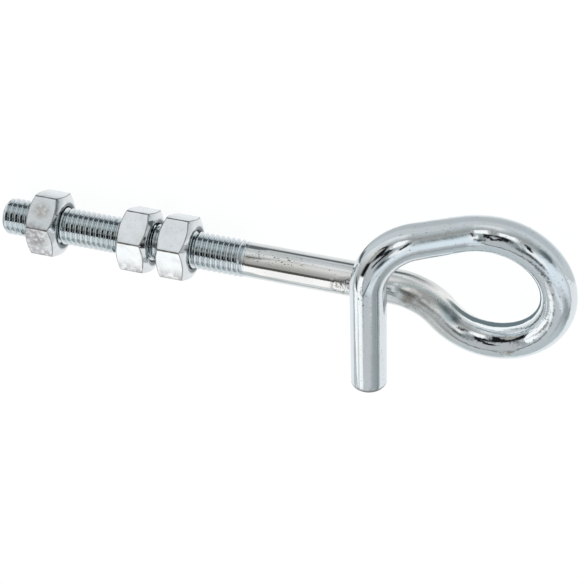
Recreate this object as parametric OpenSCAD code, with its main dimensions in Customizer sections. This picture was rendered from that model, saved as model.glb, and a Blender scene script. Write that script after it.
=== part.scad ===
// Swing hook: a bent round rod with a rolled thread and three hex nuts, lying on its nuts.
// The shank lies along +X with the thread's free end at -X and the loop at +X. +Z is up.

/* [Rod] */
// Diameter of the round rod, also that of the plain shank
rod_d = 11; // [9:0.1:11.5]
// Length from the thread's free end to the first bend
shank_len = 129; // [110:0.5:200]

/* [Thread] */
// Outside diameter of the rolled thread
thread_d = 11.8; // [11.6:0.1:14]
// Distance from one ridge of the thread to the next
thread_pitch = 1.75; // [1.5:0.05:2.5]
// Depth of the thread's ridges
thread_depth = 0.95; // [0.6:0.05:1.1]
// Length of the thread from its free end
thread_len = 82; // [75:0.5:100]
// Length of the taper where the thread runs out into the shank
runout_len = 1.5; // [0.5:0.1:4]
// Depth of the chamfer on the thread's free end
end_chamfer = 1.2; // [0.4:0.1:2]

/* [Loop] */
// Radius of the loop and of the bend that leads into it, to the rod's centre line
loop_r = 20; // [15:0.5:30]
// Turn of the first bend, which swings the rod out to one side of the shank
kick_deg = 49; // [35:0.5:60]
// Turn of the bend that lifts the rod out of the loop's plane
lift_deg = 31; // [24:0.5:38]
// Radius of the lifting bend, to the rod's centre line
lift_r = 20; // [15:0.5:24]

/* [Tail] */
// Clear gap between the tail and the shank that it crosses
tail_gap = 5.8; // [3:0.1:14]
// Radius of the corner that leads into the tail, to the rod's centre line
corner_r = 14; // [9:0.5:16]
// Length of the straight tail
tail_len = 37.5; // [24:0.5:60]
// Radius of the rounded edge at the tail's end
tail_edge = 1; // [0.3:0.1:3]

/* [Nuts] */
// Width of a nut across its flats
nut_af = 19; // [17:0.5:24]
// Thickness of a nut
nut_h = 10.5; // [7:0.5:13]
// Diameter of the round end face inside a nut's corner chamfer
nut_face_d = 16.2; // [15.2:0.1:17]
// Slope of a nut's corner chamfer
nut_slope_deg = 30; // [15:1:40]
// Play between the thread and a nut's bore, all round
nut_play = 0.05; // [0.02:0.01:0.1]
// Depth of the countersink at both ends of a nut's bore
nut_sink = 0.6; // [0.2:0.1:1]
// Thread that stands out past the end nut
end_stand = 9.5; // [2:0.1:14]
// Clear gap between the end nut and the middle nut
beam_gap = 20.5; // [4:0.5:24]
// Clear gap between the middle nut and the inner nut
lock_gap = 2.8; // [1:0.1:6]
// Turn of the end nut about the shank from lying flat
end_nut_turn = 5; // [-30:0.5:30]
// Turn of the middle nut about the shank from lying flat
middle_nut_turn = 1.5; // [-30:0.5:30]
// Turn of the inner nut about the shank from lying flat
inner_nut_turn = 1.5; // [-30:0.5:30]

/* [Hidden] */
$fn = 96;

right_angle = 90;
half_turn = 180;
hex_sides = 6;
flat_turn = half_turn / hex_sides;
cut_past = 1;
seam_len = 1;
seam_proud = 0.02;
flank_deg = 30;
crest_share = 1 / 8;

rod_r = rod_d / 2;
thread_r = thread_d / 2;

// The thread's ridges, drawn as plain rings at its pitch
root_r = thread_r - thread_depth;
flank_len = thread_depth * tan(flank_deg);
crest_len = thread_pitch * crest_share;
ridges = floor((thread_len - runout_len) / thread_pitch);
function ridge(x) = [
    [root_r, x],
    [thread_r, x + flank_len],
    [thread_r, x + flank_len + crest_len],
    [root_r, x + 2 * flank_len + crest_len],
];
function chamfered(point) = [min(point[0], thread_r - end_chamfer + point[1]), point[1]];

// Height of the tail's centre line over the shank's, and the rise that is left for the straight run
tail_rise = rod_d + tail_gap;
rise_len = (tail_rise - lift_r * (1 - cos(lift_deg))) / sin(lift_deg) - corner_r;

// Each bend: straight run before it, roll of its plane, radius to the centre line, turn
BENDS = [
    [0, half_turn, loop_r, kick_deg],
    [0, half_turn, loop_r, half_turn + kick_deg],
    [0, right_angle, lift_r, lift_deg],
    [rise_len, -right_angle, corner_r, right_angle],
];

nut_r = nut_af / 2;
nut_corner_r = nut_r / cos(flat_turn);
nut_bore_r = thread_r + nut_play;
nut_chamfer_h = (nut_corner_r - nut_face_d / 2) * tan(nut_slope_deg);

// Outer face of each nut, from the thread's free end
end_nut_x = end_stand;
middle_nut_x = end_nut_x + nut_h + beam_gap;
inner_nut_x = middle_nut_x + nut_h + lock_gap;

// Limits of the whole hook about the shank's axis, which give the middle of its footprint
loop_x = shank_len + 2 * loop_r * sin(kick_deg);
loop_y = 2 * loop_r * cos(kick_deg) - loop_r;
far_x = loop_x + loop_r + rod_r;
high_y = loop_y + loop_r + rod_r;
tail_end_y = loop_y + loop_r - corner_r - tail_len;
low_y = min(tail_end_y, loop_y - loop_r - rod_r, -nut_corner_r);

// Reach of a turned nut below the shank's axis: its lowest corner, or its flat when it isn't turned
function nut_reach(turn) = nut_corner_r * cos(flat_turn - abs(turn));
floor_z = -max(nut_reach(end_nut_turn), nut_reach(middle_nut_turn), nut_reach(inner_nut_turn));

// The shank's axis frame, set so that the origin is under the middle of the footprint, on the floor
module on_floor() {
    translate([-far_x / 2, -(high_y + low_y) / 2, -floor_z]) children();
}

// The threaded and plain shank, turned about its axis from the free end to the first bend
module shank() {
    rotate([0, right_angle, 0])
        rotate_extrude()
            polygon([
                [0, 0],
                for (i = [0 : ridges - 1], point = ridge(i * thread_pitch)) chamfered(point),
                [root_r, thread_len - runout_len],
                [rod_r, thread_len],
                [rod_r, shank_len],
                [0, shank_len],
            ]);
}

module straight(length) {
    rotate([0, right_angle, 0]) cylinder(h = length, r = rod_r);
}

// A bend that starts along +X and turns towards +Y
module bend(radius, turn) {
    translate([0, radius, 0])
        rotate([0, 0, -right_angle])
            rotate_extrude(angle = turn)
                translate([radius, 0]) circle(r = rod_r);
}

module after_bend(radius, turn) {
    translate([0, radius, 0])
        rotate([0, 0, turn])
            translate([0, -radius, 0]) children();
}

// A short sleeve, a hair proud, where a bend meets the next run, which makes the rod one solid
module seam() {
    translate([-seam_len / 2, 0, 0])
        rotate([0, right_angle, 0]) cylinder(h = seam_len, r = rod_r + seam_proud);
}

// The tail's straight rod, with a rounded edge at its end
module tail() {
    rotate([0, right_angle, 0])
        rotate_extrude()
            union() {
                square([rod_r, tail_len - tail_edge]);
                square([rod_r - tail_edge, tail_len]);
                translate([rod_r - tail_edge, tail_len - tail_edge]) circle(r = tail_edge);
            }
}

// The rod from bend i on, each run set tangent to the end of the one before it
module rod_from(i) {
    if (i == len(BENDS)) {
        tail();
    } else {
        run = BENDS[i][0];
        if (run > 0) straight(run);
        translate([run, 0, 0])
            rotate([BENDS[i][1], 0, 0]) {
                bend(BENDS[i][2], BENDS[i][3]);
                after_bend(BENDS[i][2], BENDS[i][3]) {
                    seam();
                    rod_from(i + 1);
                }
            }
    }
}

// A hex nut along +X with its outer face at x and its corners chamfered at both ends
module nut(x, turn) {
    translate([x, 0, 0])
        rotate([turn + flat_turn, 0, 0])
            rotate([0, right_angle, 0])
                difference() {
                    intersection() {
                        cylinder(h = nut_h, r = nut_corner_r, $fn = hex_sides);
                        chamfered_blank();
                    }
                    translate([0, 0, -cut_past]) cylinder(h = nut_h + 2 * cut_past, r = nut_bore_r);
                    countersink();
                    translate([0, 0, nut_h]) mirror([0, 0, 1]) countersink();
                }
}

// The round blank whose sloped ends chamfer the hexagon
module chamfered_blank() {
    out_r = nut_corner_r + cut_past;
    out_h = nut_chamfer_h + cut_past * tan(nut_slope_deg);
    rotate_extrude()
        polygon([
            [0, 0],
            [nut_face_d / 2, 0],
            [out_r, out_h],
            [out_r, nut_h - out_h],
            [nut_face_d / 2, nut_h],
            [0, nut_h],
        ]);
}

// A cone that opens a nut's bore at its end face
module countersink() {
    translate([0, 0, -cut_past])
        cylinder(h = nut_sink + cut_past, r1 = nut_bore_r + nut_sink + cut_past, r2 = nut_bore_r);
}

module hook_bolt() {
    color("gainsboro")
        on_floor() {
            shank();
            translate([shank_len, 0, 0]) rod_from(0);
        }
}

module end_nut() {
    color("silver") on_floor() nut(end_nut_x, end_nut_turn);
}

module middle_nut() {
    color("silver") on_floor() nut(middle_nut_x, middle_nut_turn);
}

module inner_nut() {
    color("silver") on_floor() nut(inner_nut_x, inner_nut_turn);
}

hook_bolt();
end_nut();
middle_nut();
inner_nut();
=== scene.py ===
import bpy
import bmesh
import math
from mathutils import Matrix, Vector


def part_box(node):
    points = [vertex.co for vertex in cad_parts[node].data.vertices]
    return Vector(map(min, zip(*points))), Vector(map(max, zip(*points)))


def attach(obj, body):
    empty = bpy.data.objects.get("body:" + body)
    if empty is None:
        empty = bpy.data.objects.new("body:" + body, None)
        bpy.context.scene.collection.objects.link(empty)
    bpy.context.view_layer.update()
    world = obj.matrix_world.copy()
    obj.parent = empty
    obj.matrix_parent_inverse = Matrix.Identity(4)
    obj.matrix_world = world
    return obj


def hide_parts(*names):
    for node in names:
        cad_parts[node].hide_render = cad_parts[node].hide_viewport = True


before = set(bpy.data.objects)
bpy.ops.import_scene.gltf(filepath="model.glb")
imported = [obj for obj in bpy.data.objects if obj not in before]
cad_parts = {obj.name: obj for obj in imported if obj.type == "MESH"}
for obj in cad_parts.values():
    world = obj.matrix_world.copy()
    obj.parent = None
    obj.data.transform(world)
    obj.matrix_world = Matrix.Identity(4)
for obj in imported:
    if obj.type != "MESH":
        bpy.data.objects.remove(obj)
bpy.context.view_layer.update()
print("frame loaded:", ", ".join(sorted(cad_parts)))

mm = 0.001
scene = bpy.context.scene

# the shank's axis and free end, read off the frame
nutLow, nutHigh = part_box("middle_nut")
axisStart = Vector((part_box("hook_bolt")[0].x, (nutLow.y + nutHigh.y) / 2, (nutLow.z + nutHigh.z) / 2))


def finishMesh(bm, name, materials, body, node):
    bmesh.ops.recalc_face_normals(bm, faces=bm.faces)
    mesh = bpy.data.meshes.new(name)
    bm.to_mesh(mesh)
    bm.free()
    mesh.polygons.foreach_set("use_smooth", [True] * len(mesh.polygons))
    for material in materials:
        mesh.materials.append(material)
    piece = bpy.data.objects.new(name, mesh)
    scene.collection.objects.link(piece)
    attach(piece, body)
    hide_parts(node)
    return piece


# helpers for shader nodes
def newMaterial(name):
    material = bpy.data.materials.new(name)
    material.use_nodes = True
    tree = material.node_tree
    return material, tree, tree.nodes["Principled BSDF"]


def clearedTree(owner):
    owner.use_nodes = True
    owner.node_tree.nodes.clear()
    return owner.node_tree


def addNode(tree, kind, inputs=None, **settings):
    made = tree.nodes.new(kind)
    for key, value in settings.items():
        setattr(made, key, value)
    for key, value in (inputs or {}).items():
        if isinstance(value, bpy.types.NodeSocket):
            tree.links.new(value, made.inputs[key])
        else:
            made.inputs[key].default_value = value
    return made


def maths(tree, operation, *values):
    return addNode(tree, "ShaderNodeMath", dict(enumerate(values)), operation=operation).outputs[0]


def times(tree, first, *others):
    for other in others:
        first = maths(tree, "MULTIPLY", first, other)
    return first


def most(tree, first, *others):
    for other in others:
        first = maths(tree, "MAXIMUM", first, other)
    return first


def vectors(tree, operation, *values):
    made = addNode(tree, "ShaderNodeVectorMath", dict(enumerate(values)), operation=operation)
    return made.outputs["Value" if operation in ("LENGTH", "DISTANCE", "DOT_PRODUCT") else "Vector"]


def noise(tree, place, scale, detail=2.0, rough=0.5, stretch=(1, 1, 1)):
    moved = addNode(tree, "ShaderNodeMapping", {"Vector": place, "Scale": stretch})
    settings = {"Vector": moved.outputs[0], "Scale": scale, "Detail": detail, "Roughness": rough}
    return addNode(tree, "ShaderNodeTexNoise", settings).outputs["Fac"]


def ramp(tree, value, low, high, fromValue=0.0, toValue=1.0):
    settings = {"Value": value, "From Min": low, "From Max": high, "To Min": fromValue, "To Max": toValue}
    return addNode(tree, "ShaderNodeMapRange", settings, clamp=True).outputs[0]


def mixColour(tree, share, first, second):
    return addNode(tree, "ShaderNodeMix", {0: share, 6: first, 7: second}, data_type="RGBA").outputs[2]


def bump(tree, height, distance, below=None):
    settings = {"Height": height, "Distance": distance, "Strength": 1.0}
    if below:
        settings["Normal"] = below
    return addNode(tree, "ShaderNodeBump", settings).outputs[0]


# a soft round patch of the surface
def patch(tree, place, centre, size):
    scaled = vectors(tree, "DIVIDE", vectors(tree, "SUBTRACT", place, centre), size)
    return ramp(tree, vectors(tree, "LENGTH", scaled), 1.0, 0.45)


def axisDistance(tree, place):
    return vectors(tree, "LENGTH", vectors(tree, "MULTIPLY", place, (0, 1, 1)))


def dressMetal(tree, shader, tint, rough, relief=None):
    tree.links.new(tint, shader.inputs["Base Color"])
    tree.links.new(rough, shader.inputs["Roughness"])
    if relief:
        tree.links.new(relief, shader.inputs["Normal"])
    shader.inputs["Metallic"].default_value = 1


# marks on the rod and one painted dark reflection: middle and size in its straight coordinates
marksAndDarkReflection = {
    "grip": ((0.1135, 0.0004, 0.0054), (0.0042, 0.0042, 0.003)),
    "kick": ((0.1362, 0.001, 0.0053), (0.005, 0.005, 0.004)),
    "crease": ((0.2408, -0.005, 0.0021), (0.0016, 0.002, 0.0025)),
    "foot": ((0.1700, -0.0007, 0.0054), (0.0045, 0.0014, 0.002)),
    "tail": ((0.2725, -0.0032, 0.0045), (0.008, 0.0016, 0.0016)),
    "pits": ((0.092, 0.0046, 0.003), (0.014, 0.003, 0.003)),
    # a painted dark reflection where the kick turns into the loop
    "darkReflection": ((0.1465, 0.0044, 0.0033), (0.0050, 0.0030, 0.0030)),
}

# zones of the rod, from where each starts to where it is whole, along the rod or out from its axis
rodZones = {
    "bent": (0.122, 0.140),
    "cool": (0.146, 0.166),
    "dullFrom": (0.126, 0.134),
    "dullTo": (0.158, 0.144),
    "calmTail": (0.250, 0.264),
    "cutEnd": (0.3079, 0.3087),
    "cutRim": (0.0040, 0.0046),         # out from the axis
    "threadRoot": (0.0058, 0.0051),     # out from the axis
}

rodTints = {
    "warm": ((0.835, 0.84, 0.83, 1), (0.765, 0.765, 0.75, 1)),
    "cool": ((0.80, 0.85, 0.87, 1), (0.78, 0.805, 0.82, 1)),
    "soiled": (0.70, 0.695, 0.67, 1),
    "stained": (0.42, 0.385, 0.34, 1),
    # tint of the painted dark reflection where the kick turns into the loop
    "darkReflection": (0.34, 0.39, 0.40, 1),
    "sheared": ((0.78, 0.78, 0.78, 1), (0.52, 0.51, 0.50, 1)),
    "rim": (0.30, 0.28, 0.27, 1),
    "speck": (0.18, 0.16, 0.145, 1),
    "thread": ((0.79, 0.85, 0.875, 1), (0.83, 0.845, 0.845, 1)),
    # painted shade in the thread roots
    "rootShade": (0.52, 0.575, 0.595, 1),
}

rodRelief = {"waves": 0.16 * mm, "lines": 0.012 * mm, "grain": 0.004 * mm, "dents": 0.17 * mm}


# bright zinc on the drawn rod
def makeRodZinc():
    material, tree, shader = newMaterial("rodZinc")
    place = addNode(tree, "ShaderNodeAttribute", attribute_name="rodPlace").outputs["Vector"]
    drawn = addNode(tree, "ShaderNodeSeparateXYZ", {0: place}).outputs[0]
    marksAndReflectionMasks = {name: patch(tree, place, *where) for name, where in marksAndDarkReflection.items()}
    mottle = noise(tree, place, 90, detail=3)
    blotch = noise(tree, place, 420, detail=3, rough=0.6)
    drawLines = noise(tree, place, 1500, stretch=(0.025, 1, 1))
    waves = noise(tree, place, 190, detail=3, rough=0.55)
    grain = noise(tree, place, 2600)
    pitting = noise(tree, place, 2400, detail=1, stretch=(0.6, 1, 1))
    dents = noise(tree, place, 1100, stretch=(1, 0.6, 0.6))
    sheared = noise(tree, place, 900, detail=3, stretch=(1, 0.15, 1))
    cut = ramp(tree, drawn, *rodZones["cutEnd"])
    rim = times(tree, cut, ramp(tree, axisDistance(tree, place), *rodZones["cutRim"]))
    dull = times(tree, ramp(tree, drawn, *rodZones["dullFrom"]), ramp(tree, drawn, *rodZones["dullTo"]))
    soiled = times(tree, dull, ramp(tree, blotch, 0.35, 0.65, 0.1, 0.7))
    stained = times(tree, most(tree, marksAndReflectionMasks["kick"], marksAndReflectionMasks["foot"]), ramp(tree, blotch, 0.38, 0.62))
    pitted = times(tree, ramp(tree, pitting, 0.62, 0.68), most(tree, marksAndReflectionMasks["tail"], marksAndReflectionMasks["pits"]))
    bitten = times(tree, ramp(tree, dents, 0.53, 0.60, 0, 0.75), marksAndReflectionMasks["grip"])
    specks = most(tree, ramp(tree, pitting, 0.71, 0.77), pitted, bitten)

    patchy = ramp(tree, mottle, 0.35, 0.65)
    warm = mixColour(tree, patchy, *rodTints["warm"])
    cool = mixColour(tree, patchy, *rodTints["cool"])
    tint = mixColour(tree, ramp(tree, drawn, *rodZones["cool"]), warm, cool)
    tint = mixColour(tree, soiled, tint, rodTints["soiled"])
    tint = mixColour(tree, stained, tint, rodTints["stained"])
    # painted dark reflection where the kick turns into the loop
    tint = mixColour(tree, times(tree, marksAndReflectionMasks["darkReflection"], 0.85), tint, rodTints["darkReflection"])
    tint = mixColour(tree, cut, tint, mixColour(tree, sheared, *rodTints["sheared"]))
    tint = mixColour(tree, rim, tint, rodTints["rim"])
    tint = mixColour(tree, specks, tint, rodTints["speck"])

    rough = maths(tree, "ADD", ramp(tree, drawLines, 0.3, 0.7, 0.04, 0.09), times(tree, dull, 0.2))
    rough = maths(tree, "ADD", rough, times(tree, most(tree, specks, cut), 0.3))

    bent = ramp(tree, drawn, *rodZones["bent"], 0.12, 1)
    uneven = times(tree, bent, ramp(tree, drawn, *rodZones["calmTail"], 1, 0.3))
    dented = most(tree, marksAndReflectionMasks["grip"], marksAndReflectionMasks["crease"], marksAndReflectionMasks["foot"])
    relief = bump(tree, times(tree, waves, uneven), rodRelief["waves"])
    relief = bump(tree, drawLines, rodRelief["lines"], relief)
    relief = bump(tree, grain, rodRelief["grain"], relief)
    relief = bump(tree, times(tree, dents, dented), rodRelief["dents"], relief)
    dressMetal(tree, shader, tint, rough, relief)
    return material


# the thread, with painted shade in its roots
def makeThreadZinc():
    material, tree, shader = newMaterial("threadZinc")
    place = addNode(tree, "ShaderNodeAttribute", attribute_name="rodPlace").outputs["Vector"]
    mottle = noise(tree, place, 300, detail=3)
    root = ramp(tree, axisDistance(tree, place), *rodZones["threadRoot"])
    # painted shade in the roots of the thread
    rootShade = times(tree, root, ramp(tree, mottle, 0.3, 0.7, 0.75, 1))
    tint = mixColour(tree, ramp(tree, mottle, 0.35, 0.65), *rodTints["thread"])
    tint = mixColour(tree, rootShade, tint, rodTints["rootShade"])
    dressMetal(tree, shader, tint, ramp(tree, mottle, 0.3, 0.7, 0.05, 0.10))
    return material


# smudges on the end nut: middle, size and colour
smudges = {
    "front": ((-0.0776, 0.0050, 0.0147), (0.0036, 0.0032, 0.0032), (0.64, 0.60, 0.57, 1)),
    "side": ((-0.0788, -0.0020, 0.0194), (0.0066, 0.0062, 0.0030), (0.40, 0.39, 0.40, 1)),
}

# the nuts' flats, and painted shade at the back of their tops: how far back, how far up
flats = {
    "zinc": ((0.89, 0.925, 0.94, 1), (0.85, 0.875, 0.885, 1)),
    "cloud": (0.74, 0.72, 0.71, 1),
    "speck": (0.46, 0.41, 0.38, 1),
    # painted shade at the back of the nuts' tops
    "topBackShade": (0.50, 0.495, 0.50, 1),
    "topBackShadeBack": (-0.0045, -0.0080),
    "topBackShadeUp": (0.0178, 0.0186),
    "grain": 0.006 * mm,
}


# satin zinc on the nuts' flats
def makeNutZinc():
    material, tree, shader = newMaterial("nutZinc")
    place = addNode(tree, "ShaderNodeTexCoord").outputs["Object"]
    _, y, z = addNode(tree, "ShaderNodeSeparateXYZ", {0: place}).outputs
    mottle = noise(tree, place, 260, detail=4, rough=0.6)
    clouds = ramp(tree, noise(tree, place, 130, detail=3, rough=0.6), 0.54, 0.74, 0, 0.6)
    fine = noise(tree, place, 700, detail=3, rough=0.6)
    grain = noise(tree, place, 2400)
    specks = ramp(tree, noise(tree, place, 1700, detail=1), 0.71, 0.77, 0, 0.7)
    tint = mixColour(tree, ramp(tree, mottle, 0.35, 0.68), *flats["zinc"])
    tint = mixColour(tree, clouds, tint, flats["cloud"])
    for centre, size, colour in smudges.values():
        share = times(tree, patch(tree, place, centre, size), ramp(tree, fine, 0.28, 0.56))
        tint = mixColour(tree, share, tint, colour)
    # painted shade, mottled, at the back of the top flats
    topBackShade = times(tree, ramp(tree, y, *flats["topBackShadeBack"]), ramp(tree, z, *flats["topBackShadeUp"]),
                   ramp(tree, fine, 0.38, 0.58))
    tint = mixColour(tree, topBackShade, tint, flats["topBackShade"])
    tint = mixColour(tree, specks, tint, flats["speck"])
    relief = bump(tree, grain, flats["grain"])
    dressMetal(tree, shader, tint, ramp(tree, mottle, 0.3, 0.7, 0.20, 0.29), relief)
    return material


# the nuts' other finishes: bright where they are turned, with a ring of painted shade round the bore, a
# thin painted dark reflection between flats, painted shade in the bore
nutFinishes = {
    "turnedZinc": {
        "scale": 400,
        "mixedAt": 0.68,
        "tints": ((0.82, 0.845, 0.86, 1), (0.76, 0.77, 0.775, 1)),
        "rough": (0.07, 0.12),
        # a ring of painted shade round the bore, on the turned faces
        "boreRingShade": (0.0078, 0.0071, (0.14, 0.17, 0.18, 1)),     # from the thread, out from the axis
    },
    # a thin painted dark reflection on the rounded edges between faces
    "edgeDarkReflection": {
        "scale": 500,
        "mixedAt": 0.65,
        "tints": ((0.30, 0.285, 0.275, 1), (0.60, 0.585, 0.575, 1)),
        "rough": (0.25, 0.4),
    },
    # painted shade in the countersink and the bore
    "boreShadeZinc": {
        "scale": 600,
        "mixedAt": 0.65,
        "tints": ((0.07, 0.085, 0.09, 1), (0.16, 0.18, 0.185, 1)),
        "rough": (0.22, 0.4),
    },
}


def makeNutFinish(name, scale, mixedAt, tints, rough, boreRingShade=None):
    material, tree, shader = newMaterial(name)
    place = addNode(tree, "ShaderNodeTexCoord").outputs["Object"]
    mottle = noise(tree, place, scale, detail=3)
    tint = mixColour(tree, ramp(tree, mottle, 0.35, mixedAt), *tints)
    # a ring of painted shade round the bore
    if boreRingShade:
        outer, inner, boreRingShadeTint = boreRingShade
        radius = axisDistance(tree, vectors(tree, "SUBTRACT", place, axisStart))
        tint = mixColour(tree, ramp(tree, radius, outer, inner), tint, boreRingShadeTint)
    dressMetal(tree, shader, tint, ramp(tree, mottle, 0.3, 0.7, *rough))
    return material


rodMaterials = (makeRodZinc(), makeThreadZinc())
nutMaterials = [makeNutZinc()] + [makeNutFinish(name, **finish) for name, finish in nutFinishes.items()]
print("materials made")

# the bent rod
rod = {
    "radius": 5.5 * mm,
    "shankLength": 129 * mm,
    "loopRadius": 20 * mm,
    "kick": 49,            # degrees
    "lift": 31,            # degrees
    "liftRadius": 20 * mm,
    "tailGap": 5.8 * mm,   # clear of the shank
    "cornerRadius": 14 * mm,
    "tailLength": 37.5 * mm,
    "tailEdge": 1 * mm,
    "bridge": 0.5 * mm,    # from the thread to the plain rod
    "sides": 96,
    "bendStep": 2,         # degrees a ring
    "runStep": 2.5 * mm,
}

# the rolled thread
thread = {
    "radius": 5.9 * mm,
    "root": 4.95 * mm,
    "pitch": 1.75 * mm,
    "length": 82 * mm,
    "fade": 2.2 * mm,      # run-out into the shank
    "fadeShare": 0.93,     # of the run-out, after which the rod is plain
    "chamfer": 1.2 * mm,
    "stepsPerTurn": 64,
    "weld": 0.002 * mm,
    "sliver": 0.0001 * mm,
    # half a pitch from root to crest: share of the pitch, share of the depth
    "flank": ((0, 0), (0.09, 0), (0.14, 0.06), (0.18, 0.176), (0.2, 0.24), (0.385, 0.832), (0.405, 0.896),
              (0.445, 0.975), (0.5, 1)),
}


def allOf(bm):
    return bm.verts[:] + bm.edges[:] + bm.faces[:]


def edgesIn(geometry):
    return [item for item in geometry if isinstance(item, bmesh.types.BMEdge)]


def ringVerts(edges):
    return list({vert for edge in edges for vert in edge.verts})


def extrudeRim(bm, rim):
    made = edgesIn(bmesh.ops.extrude_edge_only(bm, edges=rim)["geom"])
    return [edge for edge in made if edge.is_boundary]


def smoothStep(value):
    value = min(max(value, 0), 1)
    return value * value * (3 - 2 * value)


def growThread():
    bm = bmesh.new()
    pitch, depth = thread["pitch"], thread["radius"] - thread["root"]
    half = [Vector((share * pitch, thread["root"] + depth * rise, 0)) for share, rise in thread["flank"]]
    other = [Vector((pitch - point.x, point.y, 0)) for point in reversed(half[:-1])]
    before = Vector((-2 * pitch, 0, 0))
    points = [bm.verts.new(point + before) for point in half + other]
    edges = [bm.edges.new(pair) for pair in zip(points, points[1:])]
    bmesh.ops.spin(bm, geom=points + edges, cent=(0, 0, 0), axis=(1, 0, 0), angle=math.tau,
                   steps=thread["stepsPerTurn"], dvec=(pitch / thread["stepsPerTurn"], 0, 0))
    turns = 1
    while turns * pitch < thread["length"] + 4 * pitch:       # one turn, doubled until it is long enough
        copied = bmesh.ops.duplicate(bm, geom=allOf(bm))["geom"]
        copiedVerts = [item for item in copied if isinstance(item, bmesh.types.BMVert)]
        bmesh.ops.translate(bm, verts=copiedVerts, vec=(turns * pitch, 0, 0))
        turns *= 2
    bmesh.ops.remove_doubles(bm, verts=bm.verts, dist=thread["weld"])
    fadeStart, fadeLength = thread["length"] - thread["fade"], thread["fade"] * thread["fadeShare"]
    for vert in bm.verts:
        radius = math.hypot(vert.co.y, vert.co.z)
        faded = smoothStep((vert.co.x - fadeStart) / fadeLength)
        wanted = radius + (rod["radius"] - radius) * faded
        wanted = min(wanted, thread["radius"] - thread["chamfer"] + max(vert.co.x, 0))
        vert.co.yz *= wanted / radius
    for x, outward in ((0, -1), (thread["length"], 1)):
        bmesh.ops.bisect_plane(bm, geom=allOf(bm), dist=thread["sliver"], plane_co=(x, 0, 0),
                               plane_no=(outward, 0, 0), clear_outer=True)
    freeRim = [edge for edge in bm.edges if edge.is_boundary and edge.verts[0].co.x < thread["length"] / 2]
    bmesh.ops.contextual_create(bm, geom=freeRim)
    for face in bm.faces:
        face.material_index = 1
    made = bpy.data.meshes.new("threadTurns")
    bm.to_mesh(made)
    bm.free()
    return made


# tip is the open end of the rod: its rim, place, heading and the side it bends to next
def noteDrawn(bm, tip, step):
    layer = bm.verts.layers.float_vector["rodPlace"]
    tip["drawn"] += step
    for vert in ringVerts(tip["rim"]):
        vert[layer].x = tip["drawn"]


def runStraight(bm, tip, length):
    steps = max(1, round(length / rod["runStep"]))
    for _ in range(steps):
        tip["rim"] = extrudeRim(bm, tip["rim"])
        bmesh.ops.translate(bm, verts=ringVerts(tip["rim"]), vec=tip["along"] * length / steps)
        noteDrawn(bm, tip, length / steps)
    tip["place"] = tip["place"] + tip["along"] * length


def runBend(bm, tip, roll, radius, angle):
    tip["side"].rotate(Matrix.Rotation(math.radians(roll), 3, tip["along"]))
    centre, axis = tip["place"] + tip["side"] * radius, tip["along"].cross(tip["side"])
    steps = round(angle / rod["bendStep"])
    turn = math.radians(angle / steps)
    for _ in range(steps):
        ring = ringVerts(tip["rim"]) + tip["rim"]
        made = bmesh.ops.spin(bm, geom=ring, cent=centre, axis=axis, angle=turn, steps=1)
        tip["rim"] = edgesIn(made["geom_last"])
        noteDrawn(bm, tip, turn * radius)
    whole = Matrix.Rotation(math.radians(angle), 3, axis)
    tip["place"] = centre + whole @ (tip["place"] - centre)
    tip["along"] = whole @ tip["along"]
    tip["side"] = whole @ tip["side"]


def makeHook():
    bm = bmesh.new()
    layer = bm.verts.layers.float_vector.new("rodPlace")
    start = Vector((thread["length"] + rod["bridge"], 0, 0))
    place = Matrix.Translation(start) @ Matrix.Rotation(math.pi / 2, 4, "Y")
    bmesh.ops.create_circle(bm, cap_ends=False, radius=rod["radius"], segments=rod["sides"], matrix=place)
    for vert in bm.verts:
        vert[layer] = vert.co
    tip = {"rim": bm.edges[:], "place": start, "along": Vector((1, 0, 0)), "side": Vector((0, 1, 0))}
    tip["drawn"] = start.x
    runStraight(bm, tip, rod["shankLength"] - start.x)
    runBend(bm, tip, 180, rod["loopRadius"], rod["kick"])
    runBend(bm, tip, 180, rod["loopRadius"], 180 + rod["kick"])
    runBend(bm, tip, 90, rod["liftRadius"], rod["lift"])
    lift = math.radians(rod["lift"])
    rise = 2 * rod["radius"] + rod["tailGap"] - rod["liftRadius"] * (1 - math.cos(lift))
    runStraight(bm, tip, rise / math.sin(lift) - rod["cornerRadius"])
    runBend(bm, tip, -90, rod["cornerRadius"], 90)
    runStraight(bm, tip, rod["tailLength"])
    bmesh.ops.contextual_create(bm, geom=tip["rim"])
    bmesh.ops.bevel(bm, geom=tip["rim"], offset=rod["tailEdge"], offset_type="OFFSET", segments=6,
                    profile=0.5, affect="EDGES", material=-1)
    print("rod drawn:", round(tip["drawn"] / mm, 1), "mm long")
    bareCount = len(bm.verts)
    bm.from_mesh(growThread())
    bm.verts.ensure_lookup_table()
    for vert in bm.verts[bareCount:]:
        vert[layer] = vert.co
    openEdges = [edge for edge in bm.edges if edge.is_boundary]
    bmesh.ops.bridge_loops(bm, edges=openEdges)
    bmesh.ops.translate(bm, verts=bm.verts, vec=axisStart)
    return finishMesh(bm, "bentRod", rodMaterials, "hook", "hook_bolt")


hook = makeHook()
print("bent rod:", len(hook.data.polygons), "faces")

# the hex nuts
nut = {
    "flats": 19 * mm,
    "faceWidth": 16.2 * mm,
    "slope": 30,             # degrees, corner chamfer
    "bore": 11.9 * mm,
    "sink": 0.6 * mm,
    "cornerRound": 0.35 * mm,
    "edgeRound": 0.2 * mm,
    "cutsPerSide": 15,
    "weld": 0.001 * mm,
    "turns": {"end_nut": 5, "middle_nut": 1.5, "inner_nut": 1.5},   # degrees about the shank
    "turnedLean": 0.84,      # a face that leans more is turned
    "flatLean": 0.02,        # one that leans less is a flat, if it is square to a side
    "flatTurn": 2,           # degrees that it may be off
}


def growRing(bm, edges, placeVert):
    ring = extrudeRim(bm, edges)
    for vert in ringVerts(ring):
        vert.co = placeVert(vert.co)
    return ring


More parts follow.
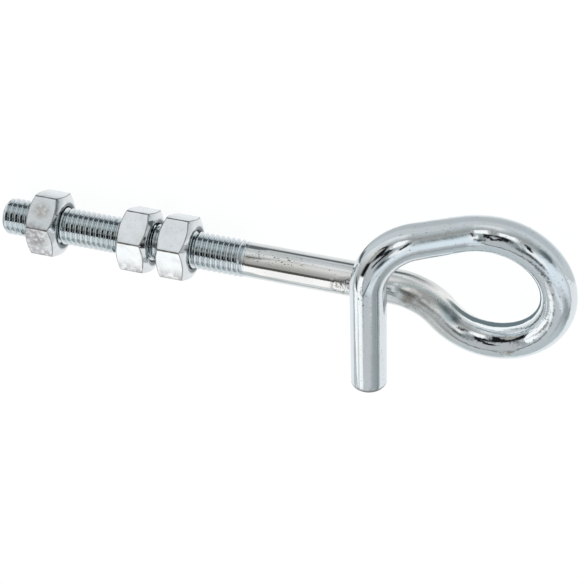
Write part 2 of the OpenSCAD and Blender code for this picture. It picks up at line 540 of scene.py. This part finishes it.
def atRadius(co, radius, height):
    flat = co.xy.normalized() * radius
    return Vector((flat.x, flat.y, height))


# which of nutMaterials a face takes
def finishOf(face):
    onFlat, turned, onEdge, inBore = range(len(nutMaterials))
    lean, fromAxis = abs(face.normal.z), face.calc_center_median().xy.length
    if fromAxis < nut["bore"] / 2 + nut["sink"]:
        return inBore
    if lean > nut["turnedLean"]:
        return turned
    fromFlat = (math.degrees(math.atan2(face.normal.y, face.normal.x)) + 30) % 60 - 30
    return onFlat if lean < nut["flatLean"] and abs(fromFlat) < nut["flatTurn"] else onEdge


def makeNut(nodeName, pieceName):
    low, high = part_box(nodeName)
    half = (high.x - low.x) / 2
    faceR, boreR, sink = nut["faceWidth"] / 2, nut["bore"] / 2, nut["sink"]
    slope = math.tan(math.radians(nut["slope"]))
    bm = bmesh.new()
    hexagon = bmesh.ops.create_circle(bm, cap_ends=True, radius=nut["flats"] / math.sqrt(3), segments=6)
    bmesh.ops.bevel(bm, geom=hexagon["verts"], offset=nut["cornerRound"], segments=3, profile=0.5,
                    affect="VERTICES", material=-1)
    sides = [edge for edge in bm.edges if edge.calc_length() > nut["flats"] / 4]
    bmesh.ops.subdivide_edges(bm, edges=sides, cuts=nut["cutsPerSide"])
    bmesh.ops.delete(bm, geom=bm.faces, context="FACES_ONLY")
    outline = bm.edges[:]
    arcs = growRing(bm, outline,
                    lambda co: atRadius(co, co.xy.length, half - (co.xy.length - faceR) * slope))
    face = growRing(bm, arcs, lambda co: atRadius(co, faceR, half))
    mouth = growRing(bm, face, lambda co: atRadius(co, boreR + sink, half))
    bore = growRing(bm, mouth, lambda co: atRadius(co, boreR, half - sink))
    growRing(bm, bore, lambda co: atRadius(co, boreR, 0))
    bmesh.ops.bevel(bm, geom=arcs + face, offset=nut["edgeRound"], segments=3, profile=0.5,
                    affect="EDGES", material=-1)
    bmesh.ops.mirror(bm, geom=allOf(bm), axis="Z", merge_dist=nut["weld"])
    bmesh.ops.remove_doubles(bm, verts=bm.verts, dist=nut["weld"])
    bm.normal_update()
    for part in bm.faces:
        part.material_index = finishOf(part)
    middle = Vector(((low.x + high.x) / 2, axisStart.y, axisStart.z))
    turn = Matrix.Rotation(math.radians(nut["turns"][nodeName]), 4, "X")
    place = Matrix.Translation(middle) @ turn @ Matrix.Rotation(math.pi / 2, 4, "Y")
    bmesh.ops.transform(bm, matrix=place, verts=bm.verts)
    made = finishMesh(bm, pieceName, nutMaterials, nodeName, nodeName)
    made.modifiers.new("flatFacets", "WEIGHTED_NORMAL").weight = 100
    return made


for nodeName, pieceName in (("end_nut", "endNut"), ("middle_nut", "middleNut"), ("inner_nut", "innerNut")):
    made = makeNut(nodeName, pieceName)
    print("nut:", made.name, len(made.data.polygons), "faces")

# camera and studio
camera = {
    "lens": 116.23,
    "sensor": 36,
    "clip": (0.01, 50),
    "place": (0.159642, 0.358600, 0.436573),
    "turn": (-39.9355, 18.5884, -1.9576),     # degrees
}


def makeCamera():
    data = bpy.data.cameras.new("camera")
    data.lens = camera["lens"]
    data.sensor_width = camera["sensor"]
    data.clip_start, data.clip_end = camera["clip"]
    made = bpy.data.objects.new("camera", data)
    made.location = camera["place"]
    made.rotation_euler = [math.radians(angle) for angle in camera["turn"]]
    scene.collection.objects.link(made)
    scene.camera = made
    return made


# what the lens sees straight, what the metal mirrors and what lights the rest
def splitRays(tree, rest, mirrored, straight):
    seen = addNode(tree, "ShaderNodeLightPath").outputs
    lit = addNode(tree, "ShaderNodeMixShader", {0: seen["Is Glossy Ray"], 1: rest, 2: mirrored}).outputs[0]
    direct = most(tree, seen["Is Camera Ray"], seen["Is Transmission Ray"])
    return addNode(tree, "ShaderNodeMixShader", {0: direct, 1: lit, 2: straight}).outputs[0]


studio = {
    "tent": (0.55, 0.60, 0.62, 1),
    "white": (1, 1, 1, 1),
    # sheets, lamps and flags round the hook, later ones in front. With the photo's lens straight ahead:
    # degrees right, degrees up, half width, half height, roll, soft edge, brightness and tint
    "cards": {
        "leftWall": (-155, 18, 26, 26, 0, 12, (0.30, 0.32, 0.32, 1)),
        "upperLeft": (-100, 45, 30, 30, 0, 12, (0.88, 0.90, 0.92, 1)),
        "blueSheet": (36, -42, 34, 22, 10, 8, (0.84, 0.92, 0.98, 1)),
        "footSheet": (-20, -82, 40, 10, 0, 6, (0.60, 0.62, 0.64, 1)),
        "tailShade": (74, -71, 5, 18, 0, 3, (0.42, 0.45, 0.47, 1)),
        "loopSheet": (6, -72, 15, 4, -6, 2, (0.80, 0.86, 0.90, 1)),
        "lowWall": (88, -56, 16, 10, 0, 8, (0.34, 0.37, 0.38, 1)),
        "lowLine": (99, -48, 2.5, 6, 40, 1.5, (0.20, 0.22, 0.23, 1)),
        "horizonSheet": (-120, -32, 8, 10, 0, 6, (0.46, 0.48, 0.49, 1)),
        "tealFlag": (36, -1, 13, 13, -10, 6, (0.11, 0.14, 0.15, 1)),
        "lensSide": (-8, 14, 40, 14, 0, 10, (0.38, 0.385, 0.38, 1)),
        "nutSheet": (-30, 47, 22, 12, 0, 8, (0.86, 0.87, 0.88, 1)),
        "lensFoot": (-14, -24, 12, 12, 0, 6, (0.30, 0.33, 0.34, 1)),
        "stripLamp": (-72, -40, 5, 16, -27, 2, (1.2, 1.2, 1.2, 1)),
        "stripSide": (-88, -42, 6, 14, 0, 4, (0.33, 0.34, 0.35, 1)),
        "tailLamp": (-97, -55, 9, 5.5, -45, 2.5, (1.1, 1.1, 1.1, 1)),
        "boxRim": (-43, -18, 17, 40, 0, 3, (0.01, 0.01, 0.012, 1)),
        "boxFront": (-41, -37, 15.5, 25, 0, 3, (0.54, 0.555, 0.57, 1)),
        "boxLine": (-48, -66, 13, 2.2, 0, 2, (0.11, 0.13, 0.14, 1)),
        "window": (-8, 8, 11, 10, -15, 3, (1.15, 1.15, 1.15, 1)),
        "lowWindow": (5, -30, 9, 12, 0, 3, (1.05, 1.05, 1.05, 1)),
        "lensHood": (-19, -9, 8, 6, -25, 2, (0.01, 0.01, 0.01, 1)),
        "windowBar": (7, -13, 3.5, 12, -8, 1.5, (0.01, 0.01, 0.01, 1)),
        "cornerFlag": (-27, -23.5, 14, 4.5, 37, 2, (0.01, 0.01, 0.012, 1)),
        "lowFlag": (-9, -44, 9, 8, -20, 4, (0.07, 0.085, 0.09, 1)),
    },
}


def lensDirections(turn, right, up, roll):
    right, up, roll = (math.radians(angle) for angle in (right, up, roll))
    ahead = Vector((math.cos(up) * math.sin(right), math.sin(up), math.cos(up) * math.cos(right)))
    east = Vector((math.cos(right), 0, -math.sin(right)))
    north = ahead.cross(east)
    across = east * math.cos(roll) + north * math.sin(roll)
    upward = north * math.cos(roll) - east * math.sin(roll)
    return turn @ ahead, turn @ across, turn @ upward


def makeWorld(turn):
    world = bpy.data.worlds.new("studio")
    scene.world = world
    tree = clearedTree(world)
    looking = addNode(tree, "ShaderNodeTexCoord").outputs["Generated"]

    def within(angle, limit, soft):
        size = maths(tree, "ABSOLUTE", angle)
        return ramp(tree, size, math.radians(limit + soft), math.radians(limit - soft))

    colour = studio["tent"]
    for right, up, halfWidth, halfHeight, roll, soft, tint in studio["cards"].values():
        ways = lensDirections(turn, right, up, roll)
        ahead, across, upward = (vectors(tree, "DOT_PRODUCT", looking, way) for way in ways)
        sideways = maths(tree, "ARCTAN2", across, ahead)
        raised = maths(tree, "ARCSINE", upward)
        share = times(tree, within(sideways, halfWidth, soft), within(raised, halfHeight, soft))
        colour = mixColour(tree, share, colour, tint)
    tints = (studio["tent"], colour, studio["white"])
    shades = [addNode(tree, "ShaderNodeBackground", {"Color": tint}).outputs[0] for tint in tints]
    addNode(tree, "ShaderNodeOutputWorld", {"Surface": splitRays(tree, *shades)})


# a flat stage piece with an empty material
def makeFlat(name, low, high, materialName):
    bm = bmesh.new()
    size = Matrix.Diagonal(((high.x - low.x) / 2, (high.y - low.y) / 2, 1, 1))
    place = Matrix.Translation((low + high) / 2) @ size
    bmesh.ops.create_grid(bm, x_segments=1, y_segments=1, size=1, matrix=place)
    mesh = bpy.data.meshes.new(name)
    bm.to_mesh(mesh)
    bm.free()
    made = bpy.data.objects.new(name, mesh)
    scene.collection.objects.link(made)
    material = bpy.data.materials.new(materialName)
    mesh.materials.append(material)
    return made, clearedTree(material)


# the floor, and the zones of it that the metal shows: painted shade, painted shadow and painted light.
# A zone has a tint, and pairs that say where it has faded out and where it is whole
floorZones = {
    "corner": Vector((3, 3, 0)),
    "matte": (0.8, 0.8, 0.8, 1),
    "shadowed": (0.2, 0.2, 0.2, 1),             # lets a faint shadow show on the white
    "glow": 0.9,
    "back": (0.90, 0.92, 0.94, 1),
    # painted shade towards the front, seen only in the metal
    "front": (0.65, 0.69, 0.71, 1),
    "frontEdge": (0.004, 0.0065),
    # painted shadow close along the shank
    "strip": (0.13, 0.15, 0.16, 1),             # close along the shank
    "stripNear": (0.0072, 0.0088),
    "stripFar": (0.0155, 0.0125),
    "stripEnd": (0.060, 0.040),
    "stripByKick": (0.030, 0.058, 0, 0.007),    # shifts to follow the kick
    "stripByThread": (-0.008, -0.014, 0, 0.010),    # wider by the thread
    "loopMiddle": (0.058, 0.003),
    "loopLonger": 1.35,                         # than it is wide
    # painted shadow round the loop
    "ring": (0.54, 0.58, 0.60, 1),              # round the loop
    "ringInner": (0.028, 0.034),
    "ringOuter": (0.060, 0.046),
    "ringFront": (0.017, 0.024),
    # painted light close to the loop
    "light": (1.10, 1.12, 1.13, 1),             # close to the loop, clear of the kick
    "lightEdge": (0.030, 0.024),
    "lightFront": (0.016, 0.020),
    "lightPastKick": (0.048, 0.058),
    "eye": (0.17, 0.22, 0.24, 1),               # a shaded patch in the eye
    "eyeMiddle": (0.072, -0.005, 0),
    "eyeEdge": (0.0108, 0.00918),
}


def makeFloor():
    zone = floorZones
    floor, tree = makeFlat("floor", -zone["corner"], zone["corner"], "paleFloor")
    place = addNode(tree, "ShaderNodeTexCoord").outputs["Object"]
    x, y, _ = addNode(tree, "ShaderNodeSeparateXYZ", {0: place}).outputs
    # painted shade towards the front
    colour = mixColour(tree, ramp(tree, y, *zone["frontEdge"]), zone["back"], zone["front"])
    beside = maths(tree, "ADD", y, ramp(tree, x, *zone["stripByKick"]))
    wide = maths(tree, "SUBTRACT", beside, ramp(tree, x, *zone["stripByThread"]))
    strip = times(tree, ramp(tree, beside, *zone["stripNear"]), ramp(tree, wide, *zone["stripFar"]),
                  ramp(tree, x, *zone["stripEnd"]))
    # painted shadow along the shank
    colour = mixColour(tree, strip, colour, zone["strip"])
    (loopX, loopY), longer = zone["loopMiddle"], zone["loopLonger"]
    oval = vectors(tree, "MULTIPLY", place, (1 / longer, 1, 1))
    fromLoop = vectors(tree, "DISTANCE", oval, (loopX / longer, loopY, 0))
    ring = times(tree, ramp(tree, fromLoop, *zone["ringInner"]), ramp(tree, fromLoop, *zone["ringOuter"]),
                 ramp(tree, y, *zone["ringFront"]))
    # painted shadow round the loop
    colour = mixColour(tree, ring, colour, zone["ring"])
    offKick = most(tree, ramp(tree, y, *zone["lightFront"]), ramp(tree, x, *zone["lightPastKick"]))
    light = times(tree, ramp(tree, fromLoop, *zone["lightEdge"]), offKick)
    # painted light close to the loop, clear of the kick
    colour = mixColour(tree, light, colour, zone["light"])
    fromEye = vectors(tree, "DISTANCE", place, zone["eyeMiddle"])
    colour = mixColour(tree, ramp(tree, fromEye, *zone["eyeEdge"]), colour, zone["eye"])
    mirrored = addNode(tree, "ShaderNodeEmission", {"Color": colour}).outputs[0]
    matte = addNode(tree, "ShaderNodeBsdfDiffuse", {"Color": zone["matte"]}).outputs[0]
    shadowed = addNode(tree, "ShaderNodeBsdfDiffuse", {"Color": zone["shadowed"]}).outputs[0]
    glow = {"Color": studio["white"], "Strength": zone["glow"]}
    white = addNode(tree, "ShaderNodeEmission", glow).outputs[0]
    shown = addNode(tree, "ShaderNodeAddShader", {0: shadowed, 1: white}).outputs[0]
    addNode(tree, "ShaderNodeOutputMaterial", {"Surface": splitRays(tree, matte, mirrored, shown)})


# sheets hung over the shank and the thread, which only the metal shows
sheets = {
    "shankSheet": {
        "low": (-0.022, -0.110, 0.045),
        "high": (0.018, 0.080, 0.045),
        "fade": (0.002, 0.008),             # at its two ends
        "farTint": (0.80, 0.80, 0.79, 1),
        # towards the back: where a band starts, how softly, its tint
        "bands": (
            (0.026, 0.016, (0.42, 0.42, 0.41, 1)),
            (0.0050, 0.002, (0.09, 0.085, 0.08, 1)),
            (-0.0045, 0.0008, (1.15, 1.15, 1.15, 1)),
            (-0.050, 0.002, (0.40, 0.42, 0.43, 1)),
            (-0.058, 0.003, (0.80, 0.85, 0.86, 1)),
        ),
    },
    "threadSheet": {
        "low": (-0.190, -0.160, 0.160),
        "high": (-0.046, 0.190, 0.160),
        "fade": (0.002, 0.010),
        "farTint": (0.42, 0.41, 0.39, 1),
        "bands": (
            (0.072, 0.012, (0.01, 0.01, 0.012, 1)),
            (-0.010, 0.005, (1.15, 1.15, 1.15, 1)),
        ),
    },
}


def makeSheet(name, settings):
    low, high = Vector(settings["low"]), Vector(settings["high"])
    sheet, tree = makeFlat(name, low, high, name + "Glow")
    place = addNode(tree, "ShaderNodeTexCoord").outputs["Object"]
    x, y, _ = addNode(tree, "ShaderNodeSeparateXYZ", {0: place}).outputs
    colour = settings["farTint"]
    for edge, soft, tint in settings["bands"]:
        colour = mixColour(tree, ramp(tree, y, edge + soft, edge - soft), colour, tint)
    freeEnd, loopEnd = settings["fade"]
    share = times(tree, ramp(tree, x, low.x, low.x + freeEnd), ramp(tree, x, high.x, high.x - loopEnd))
    glow = addNode(tree, "ShaderNodeEmission", {"Color": colour}).outputs[0]
    clear = addNode(tree, "ShaderNodeBsdfTransparent").outputs[0]
    shown = addNode(tree, "ShaderNodeMixShader", {0: share, 1: clear, 2: glow}).outputs[0]
    addNode(tree, "ShaderNodeOutputMaterial", {"Surface": shown})
    sheet.visible_camera = False
    sheet.visible_diffuse = False
    sheet.visible_shadow = False


lens = makeCamera()
bpy.context.view_layer.update()
makeWorld(lens.matrix_world.to_3x3())
makeFloor()
for name, settings in sheets.items():
    makeSheet(name, settings)
scene.view_settings.view_transform = "Standard"
print("studio set")
